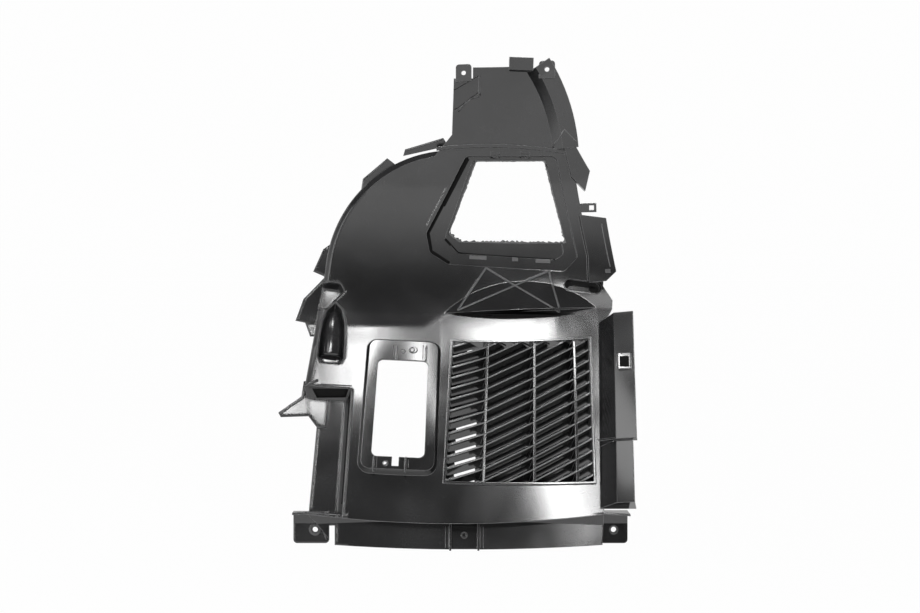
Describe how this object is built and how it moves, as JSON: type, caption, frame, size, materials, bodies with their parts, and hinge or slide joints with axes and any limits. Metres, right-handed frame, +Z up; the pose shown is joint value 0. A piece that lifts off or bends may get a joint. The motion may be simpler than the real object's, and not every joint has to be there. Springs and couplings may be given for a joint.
{
  "type": "wheel_arch_liner",
  "caption": "Moulded black plastic wheel arch liner with a louvred vent grille, a framed rectangular window, an upper trapezoid window and fixing tabs.",
  "frame": {"origin": "Midway between the two end fixing holes of the lower flange, on the front faces of their tabs", "axes": "X to the right as seen from the wheel, Y away from the wheel, Z up as the liner hangs on the vehicle"},
  "size_m": [0.4911, 0.2968, 0.689],
  "materials": {
    "liner": "satin black moulding with dust, light scuffs and pale edges"
  },
  "bodies": {
    "root": {"wheel_arch_liner": "liner"}
  },
  "joints": []
}
